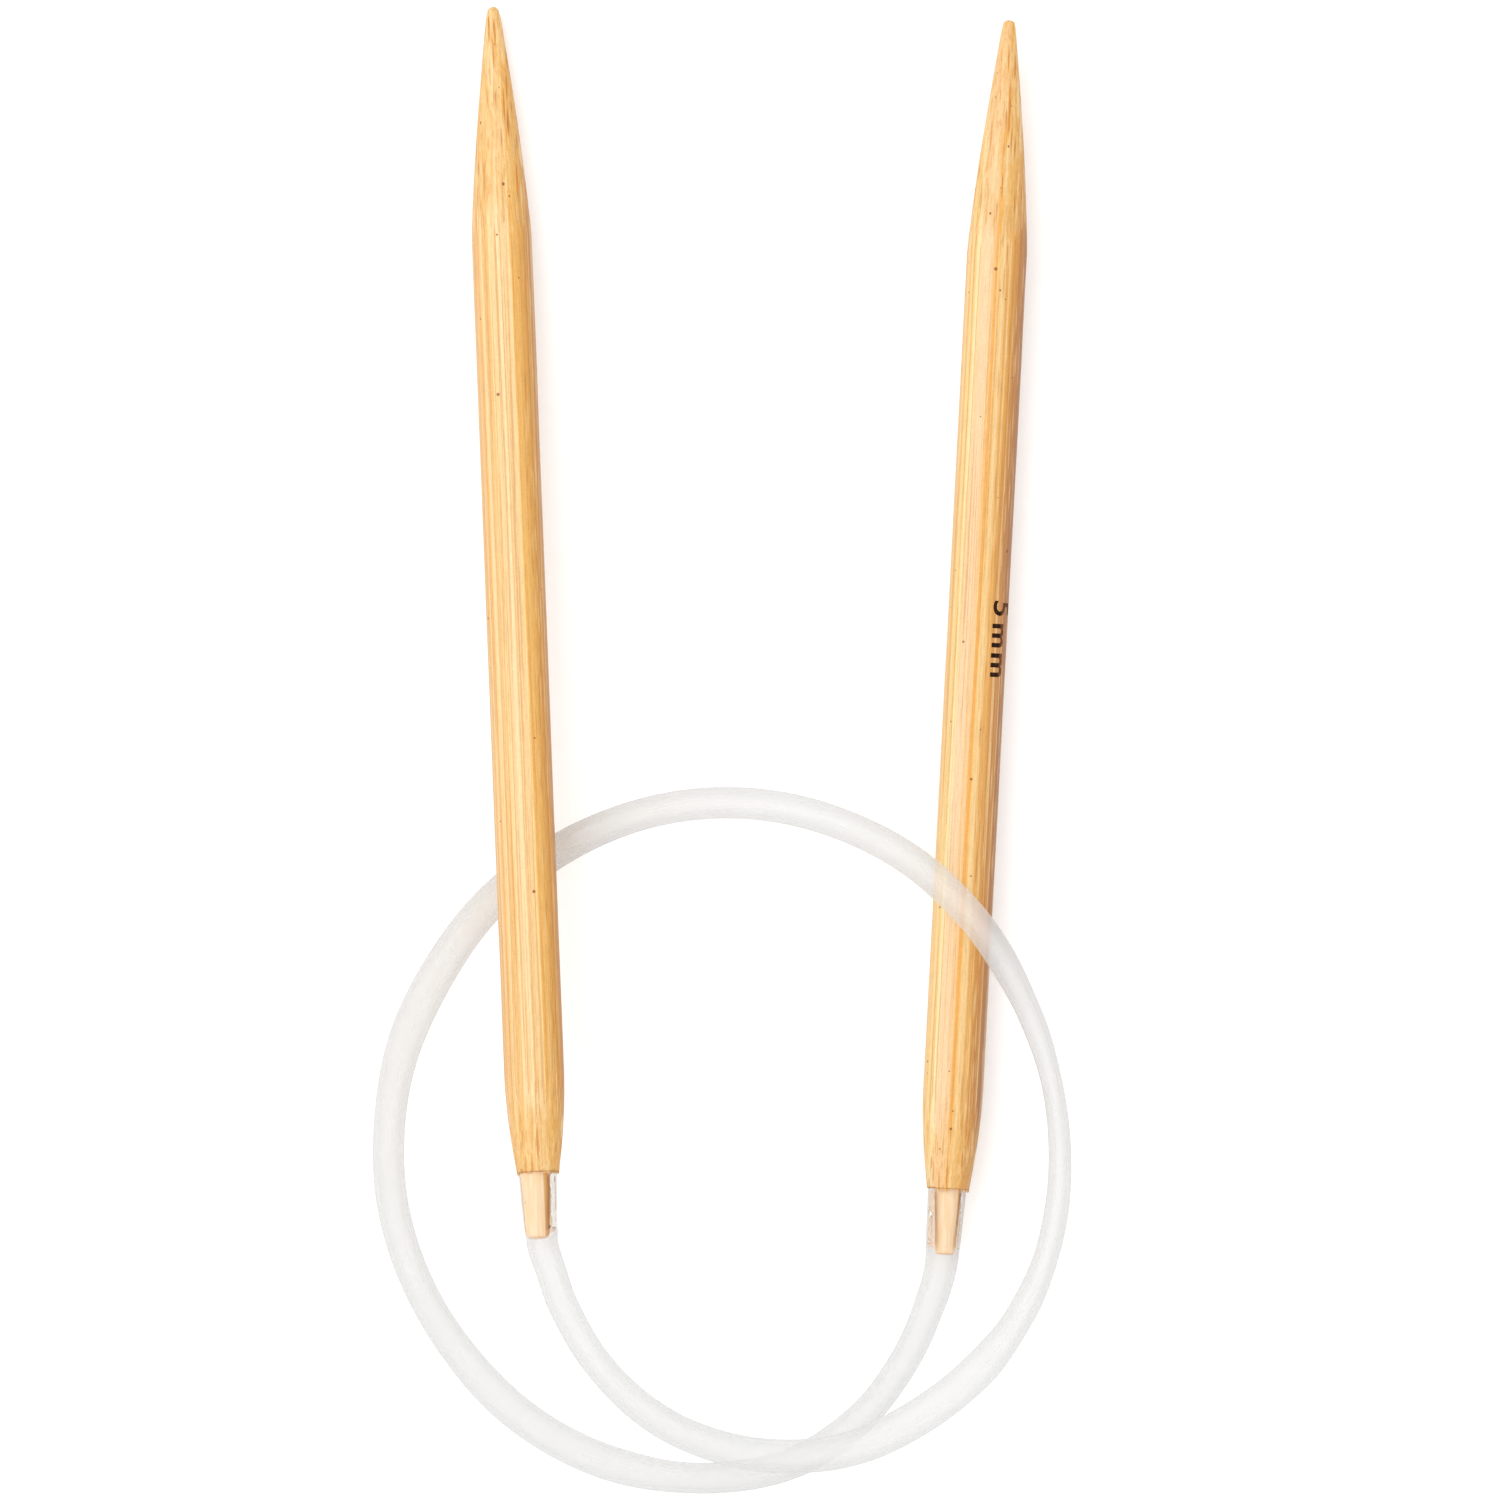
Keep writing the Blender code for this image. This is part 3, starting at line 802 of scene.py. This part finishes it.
def add_tube(name, start, end, section, finish, open_ends=(True, True)):
    """A stretch of the hollow cord between two distances: outer wall, inner wall and end rings."""
    steps = max(4, round((end - start) / RING_STEP))
    outer, inner, centres = [], [], []
    for i in range(steps + 1):
        distance = between(start, end, i / steps)
        half_width, half_height, wall, lift = section(distance)
        centre, points = ring(distance, half_width, half_height, lift)
        outer.append(points)
        inner.append(ring(distance, half_width - wall, half_height - wall, lift)[1])
        centres.append(centre)
    count = RING_SIDES
    verts = [point for row in outer + inner for point in row]
    faces, caps = [], []
    shift = (steps + 1) * count
    for row in range(steps):
        for i in range(count):
            j = (i + 1) % count
            a, b = row * count, (row + 1) * count
            faces.append((a + i, a + j, b + j, b + i))
            faces.append((shift + a + j, shift + a + i, shift + b + i, shift + b + j))
    for row, turned in ((0, False), (steps, True)):
        for i in range(count):
            j = (i + 1) % count
            a = row * count
            quad = (a + i, shift + a + i, shift + a + j, a + j)
            caps.append(quad[::-1] if turned else quad)
    data = bpy.data.meshes.new(name)
    data.from_pydata(verts, [], faces + caps)
    along = data.uv_layers.new(name="along")
    seam = data.attributes.new("inside_end", "FLOAT", "FACE")
    bore = data.attributes.new("bore", "FLOAT", "FACE")
    for polygon in data.polygons:
        corners = [data.loops[loop].vertex_index % shift for loop in polygon.loop_indices]
        wraps = max(c % count for c in corners) - min(c % count for c in corners) > count / 2
        for loop, corner in zip(polygon.loop_indices, corners):
            turn = corner % count
            if wraps and turn == 0:
                turn = count
            distance = between(start, end, (corner // count) / steps)
            along.data[loop].uv = (turn / count, distance / MM)
        bore.data[polygon.index].value = float(polygon.index < len(faces) and polygon.index % 2)
        if polygon.index >= len(faces):
            which = 0 if polygon.index < len(faces) + count else 1
            seam.data[polygon.index].value = 1.0 if open_ends[which] else 0.0
    data.shade_smooth()
    data.set_sharp_from_angle(angle=math.radians(60))
    data.materials.append(finish)
    piece = bpy.data.objects.new(name, data)
    bpy.context.collection.objects.link(piece)
    return piece, centres


def free_section(distance):
    half_width, half_height = oval(distance)
    return half_width, half_height, CORD_WALL, half_height - CORD_RADIUS


clear_cord = cord_plastic("milky cord plastic")
free_cord, free_path = add_tube(
    "hollow_cord", FREE_FROM, ROUTE_LENGTH - FREE_FROM, free_section, clear_cord,
)
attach(free_cord, "cord")
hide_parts("cord")


def add_cord_end(side, place, curl):
    """The three short stretches at one needle: over the spigot, along the neck, into the loop."""
    def away(distance):
        return distance if side == "left" else ROUTE_LENGTH - distance

    def section(distance):
        reach = away(distance)
        half_width, half_height = oval(distance)
        held = soft((0.004 - reach) / 0.004)  # the spigot holds the tube round
        half_height = between(half_height, half_width, held)
        lift = between(half_height - CORD_RADIUS, 0.0, held)
        stretched_share = min(max((0.0005 - reach) / 0.001, 0.0), 1.0)
        wall = between(CORD_WALL, SLEEVE_WALL, stretched_share)
        return half_width, half_height, wall, lift

    def stretch(name, near, far, open_ends, finish):
        start, end = sorted((away(near), away(far)))
        if side == "right":
            open_ends = open_ends[::-1]
        return add_tube(name, start, end, section, finish, open_ends)[0]

    glued = cord_plastic(f"cord plastic on the {side} spigot", place, curl)
    sleeve = stretch(f"{side}_sleeve_over_spigot", -SPIGOT_LENGTH + 0.00004, SLEEVE_TO,
                     (False, True), glued)
    bend = stretch(f"{side}_bend_by_needle", SLEEVE_TO, NECK_TO, (True, True), clear_cord)
    turn = stretch(f"{side}_bend_by_loop", NECK_TO, FREE_FROM, (True, True), clear_cord)
    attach(sleeve, f"{side}_needle")
    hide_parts(f"{side}_cord_sleeve")
    route_point(away(0.0012))[0]
    route_point(away(0.0070))[0]
    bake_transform(bend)
    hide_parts(f"{side}_cord_neck")
    route_point(away(0.0082))[0]
    route_point(away(0.0155))[0]
    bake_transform(turn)
    return [sleeve, bend, turn]


FIT_GAP = 0.00002  # the glue stays this far off the spigot and the tube


def sleeve_bore(side, y):
    """The sleeve's bore at y on the needle: its radius and how far right its middle lies."""
    distance = -y if side == "left" else ROUTE_LENGTH + y
    shift = eased(CORD_SHIFTS, distance)
    radius = cord_width(distance) - SLEEVE_WALL - FIT_GAP
    return radius, (-shift if side == "left" else shift)


def glue(name, place, spigot, shift, zones, hook):
    """Clear glue around a spigot, tinted by the wood, with white threads of air in it.

    zones are (from, to, amount) of air across the needle, in millimetres. hook is the corner
    (x, y) that a dark crack curls round, or None.
    """
    made, tree, shader = new_material(name)
    where = local_millimetres(tree, place)
    x, y = tree.add("SeparateXYZ", Vector=where).outputs[:2]
    ragged = use_group(tree, STREAKS, Place=where, Per_Millimetre=3.2, Stretch=0.6,
                       From=0.3, To=0.7, Seed=2.0)["Raw"]
    ragged = tree.math("MULTIPLY", tree.math("SUBTRACT", ragged, 0.5), 0.34)
    across = tree.math("ADD", x, ragged)
    threads = use_group(tree, STREAKS, Place=where, Per_Millimetre=9.0, Stretch=0.22,
                        From=0.46, To=0.54, Seed=6.0)["Mask"]
    air = None
    for low, high, amount in zones:
        band = tree.math("MULTIPLY", tree.ease(across, low - 0.04, low + 0.02),
                         tree.ease(across, high + 0.04, high - 0.02))
        patch = use_group(tree, STREAKS, Place=where, Per_Millimetre=1.6, Stretch=0.8,
                          From=0.60 - amount * 0.4, To=0.66 - amount * 0.4, Seed=low * 7)["Mask"]
        band = tree.math("MULTIPLY", band, patch)
        air = band if air is None else tree.math("MAXIMUM", air, band)
    air = tree.math("MULTIPLY", air, tree.ease(y, 0.75, 0.95))
    rim = tree.math("MULTIPLY", tree.math("MULTIPLY", air, tree.math("SUBTRACT", 1.0, air)), 4.0)

    # Beside the spigot the glue carries the wood's colour; over it, it is clear.
    root, end = spigot
    radius = tree.math("ADD", end / MM, tree.math("MULTIPLY", y, (root - end) / SPIGOT_LENGTH))
    aside = tree.math("ABSOLUTE", tree.math("SUBTRACT", x, shift / MM))
    beside = tree.math("SUBTRACT", aside, radius)
    tint = tree.math("MULTIPLY", tree.ease(beside, -0.10, 0.02), tree.ease(y, 0.35, 0.8))
    tan = tree.mix(threads, srgb(252, 218, 178), srgb(264, 240, 216))
    white = tree.math("MULTIPLY", air, tree.ease(threads, 0.0, 1.0, 0.55, 1.0))
    colour = tree.mix(white, tan, (0.95, 0.95, 0.93, 1.0))
    colour = tree.mix(tree.math("MULTIPLY", rim, 0.8), colour, srgb(170, 128, 96))
    alpha = tree.math("MAXIMUM", tree.math("MULTIPLY", tint, 0.72),
                      tree.math("MULTIPLY", air, 0.95))
    if hook:
        # The crack is part of a circle, kept short in both directions.
        corner_x, corner_y = hook
        off = tree.add("VectorMath", {"operation": "DISTANCE"},
                       i0=tree.add("CombineXYZ", X=x, Y=y),
                       i1=(corner_x - 0.3, corner_y + 0.12, 0.0))
        line = tree.math("ABSOLUTE", tree.math("SUBTRACT", off.outputs["Value"], 0.34))
        line = tree.math("MULTIPLY", tree.ease(line, 0.07, 0.03),
                         tree.ease(x, corner_x - 0.12, corner_x - 0.05))
        up = tree.math("ABSOLUTE", tree.math("SUBTRACT", y, corner_y))
        line = tree.math("MULTIPLY", line, tree.ease(up, 0.20, 0.12))
        colour = tree.mix(line, colour, srgb(60, 40, 30))
        alpha = tree.math("MAXIMUM", alpha, line)
    tree.feed(shader, "Base_Color", colour)
    tree.feed(shader, "Alpha", alpha)
    tree.feed(shader, "Roughness", tree.ease(air, 0.0, 1.0, 0.2, 0.6))
    height = tree.math("MULTIPLY", threads, air)
    tree.feed(shader, "Normal", tree.add("Bump", Strength=0.6, Distance=0.00003, Height=height))
    return made


def add_glue(side, place, spigot, shift, zones, hook=None):
    """The glue between the spigot and the sleeve: a closed shell, open for the spigot."""
    start, end, steps = 0.0003, SPIGOT_LENGTH - 0.0003, 24
    bpy.ops.object.select_all(action="DESELECT")
    bpy.ops.mesh.primitive_circle_add(
        vertices=RING_SIDES, radius=sleeve_bore(side, start)[0], fill_type="NOTHING",
        location=(sleeve_bore(side, start)[1], start, 0), rotation=(math.radians(90), 0, 0),
    )
    piece = bpy.context.object
    piece.name = f"{side}_glue"
    bpy.ops.object.transform_apply(location=True, rotation=True, scale=True)
    bpy.ops.object.mode_set(mode="EDIT")
    bpy.ops.mesh.select_all(action="SELECT")
    outer = [(between(start, end, i / steps), True) for i in range(steps + 1)]
    inner = [(y, False) for y, _ in reversed(outer)]

    def circle(y, is_outer):
        if is_outer:
            return sleeve_bore(side, y)
        root, end = spigot
        return between(end, root, y / SPIGOT_LENGTH) + FIT_GAP, shift

    rings = outer + inner
    for (old_y, old_outer), (y, is_outer) in zip(rings, rings[1:]):
        (old_radius, old_middle), (radius, middle) = circle(old_y, old_outer), circle(y, is_outer)
        bpy.ops.mesh.extrude_edges_move(
            TRANSFORM_OT_translate={"value": (middle - old_middle, y - old_y, 0)})
        grow = radius / old_radius
        bpy.ops.transform.resize(value=(grow, 1, grow), center_override=(middle, y, 0))
    bpy.ops.mesh.select_all(action="DESELECT")
    bpy.ops.mesh.select_non_manifold()
    bpy.ops.mesh.bridge_edge_loops()
    bpy.ops.mesh.select_all(action="SELECT")
    bpy.ops.mesh.normals_make_consistent(inside=False)
    bpy.ops.object.mode_set(mode="OBJECT")
    piece.data.transform(place)
    finish = glue(f"glue on the {side} spigot", place, spigot, shift, zones, hook)
    piece.data.materials.append(finish)
    bpy.ops.object.shade_smooth_by_angle(angle=math.radians(60))
    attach(piece, f"{side}_needle")
    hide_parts(f"{side}_glue_film")


add_glue("left", LEFT_FRAME, LEFT_SPIGOT, LEFT_SPIGOT_SHIFT, [(1.0, 1.36, 0.9)], (0.78, 0.90))
add_glue("right", RIGHT_FRAME, RIGHT_SPIGOT, RIGHT_SPIGOT_SHIFT,
         [(1.14, 1.36, 0.55), (-1.45, -1.22, 0.25)])

ends = add_cord_end("left", LEFT_FRAME, 0.40) + add_cord_end("right", RIGHT_FRAME, 0.40)


# ------------------------------------------------ size mark

# Each figure: what it is, where it starts along the needle, its length, height and weight.
# They read away from the tip, with their tops towards the needle's right.
MARK_FIGURES = [
    ("5", 0.05462, 0.00125, 0.00215, 0.010),
    ("m", 0.05270, 0.00197, 0.00128, 0.022),
    ("m", 0.05024, 0.00197, 0.00128, 0.022),
]
MARK_FOOT = math.radians(29.5)  # the foot of the figures, round from the top of the stick
MARK_SKIN = 0.000006  # the mark stands this proud of the wood


def burnt(name, place):
    """Wood scorched by a hot stamp, paler where the stamp pressed less."""
    made, tree, shader = new_material(name)
    where = local_millimetres(tree, place)
    x = tree.add("SeparateXYZ", Vector=where).outputs[0]
    patchy = tree.add("TexNoise", Vector=where, Scale=4.5, Detail=2.0).outputs[0]
    thread = use_group(tree, STREAKS, Place=where, Per_Millimetre=9.0, Stretch=0.05,
                       From=0.4, To=0.62, Seed=5.0)["Mask"]
    weak = tree.ease(x, 1.80, 2.02)
    weak = tree.math("ADD", weak, tree.ease(patchy, 0.50, 0.66, 0.0, 0.35), clamp=True)
    colour = tree.mix(weak, srgb(22, 9, 3), srgb(86, 42, 14))
    colour = tree.mix(tree.math("MULTIPLY", thread, 0.18), colour, srgb(110, 62, 26))
    tree.feed(shader, "Base_Color", colour)
    tree.feed(shader, "Alpha", tree.ease(weak, 0.0, 1.0, 0.97, 0.62))
    tree.feed(shader, "Roughness", tree.ease(thread, 0.0, 1.0, 0.75, 0.9))
    tree.feed(shader, "Normal", tree.add("Bump", Strength=0.5, Distance=0.00001, Height=thread))
    shader.inputs["Specular IOR Level"].default_value = 0.15
    return made


def flat_figure(text, start, length, height, weight):
    """One figure, flat: x from its start to its length, y from its foot to its height."""
    bpy.ops.object.select_all(action="DESELECT")
    bpy.ops.object.text_add(location=(0, 0, 0))
    figure = bpy.context.object
    figure.data.body = text
    figure.data.resolution_u = 6
    figure.data.offset = weight
    bpy.ops.object.convert(target="MESH")
    points = figure.data.vertices
    low = [min(v.co[k] for v in points) for k in (0, 1)]
    high = [max(v.co[k] for v in points) for k in (0, 1)]
    for vertex in points:
        vertex.co.x = (vertex.co.x - low[0]) / (high[0] - low[0]) * length - start
        vertex.co.y = (vertex.co.y - low[1]) / (high[1] - low[1]) * height
    bpy.ops.object.mode_set(mode="EDIT")
    for i in range(1, 24):
        bpy.ops.mesh.select_all(action="SELECT")
        bpy.ops.mesh.bisect(plane_co=(0, height * i / 24, 0), plane_no=(0, 1, 0))
    for i in range(1, 8):
        bpy.ops.mesh.select_all(action="SELECT")
        bpy.ops.mesh.bisect(plane_co=(length * i / 8 - start, 0, 0), plane_no=(1, 0, 0))
    bpy.ops.object.mode_set(mode="OBJECT")
    return figure


def add_size_mark():
    """The needle's size, wrapped round the right stick as a thin scorched skin."""
    figures = [flat_figure(*figure) for figure in MARK_FIGURES]
    bpy.ops.object.select_all(action="DESELECT")
    for figure in figures:
        figure.select_set(True)
    piece = bpy.context.view_layer.objects.active = figures[0]
    bpy.ops.object.join()
    piece.name = "size_mark"
    piece.data.name = "size_mark"
    for vertex in piece.data.vertices:
        angle = MARK_FOOT + vertex.co.y / NEEDLE_RADIUS
        y = -vertex.co.x
        radius = NEEDLE_RADIUS + sanding(angle, y, RIGHT_SEED) + MARK_SKIN
        vertex.co = (radius * math.sin(angle), y, radius * math.cos(angle))
    skin = piece.modifiers.new("skin", "SOLIDIFY")
    skin.thickness = 0.00002
    skin.offset = -1.0
    bpy.ops.object.modifier_apply(modifier="skin")
    piece.data.transform(RIGHT_FRAME)
    piece.data.materials.append(burnt("burnt size mark", RIGHT_FRAME))
    bpy.ops.object.shade_smooth_by_angle(angle=math.radians(40))
    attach(piece, "right_needle")


add_size_mark()


# ------------------------------------------------ table

def add_table():
    """The pale paper that the needles lie on."""
    made, tree, shader = new_material("pale table")
    where = tree.add("TexCoord").outputs["Object"]
    paper = tree.add("TexNoise", Vector=where, Scale=900.0, Detail=3.0)
    tone = tree.ease(paper.outputs[0], 0.3, 0.7, 0.81, 0.83)
    tree.feed(shader, "Base_Color", tree.add("CombineColor", Red=tone, Green=tone, Blue=tone))
    # It glows a little where nothing lies over it, which keeps its shadows faint.
    path = tree.add("LightPath").outputs
    bare = tree.math("LESS_THAN", path["Transparent Depth"], 0.5)
    glow = tree.math("MULTIPLY", tree.math("MULTIPLY", path["Is Camera Ray"], bare), 0.32)
    tree.feed(shader, "Emission_Color", tree.add("CombineColor", Red=glow, Green=glow, Blue=glow))
    shader.inputs["Emission Strength"].default_value = 1.0
    shader.inputs["Roughness"].default_value = 0.9
    shader.inputs["Specular IOR Level"].default_value = 0.0
    bpy.ops.object.select_all(action="DESELECT")
    bpy.ops.mesh.primitive_circle_add(vertices=64, radius=3.0, fill_type="NGON",
                                      location=(0, 0, -0.00003))
    floor = bpy.context.object
    floor.name = "table"
    floor.data.materials.append(made)


add_table()
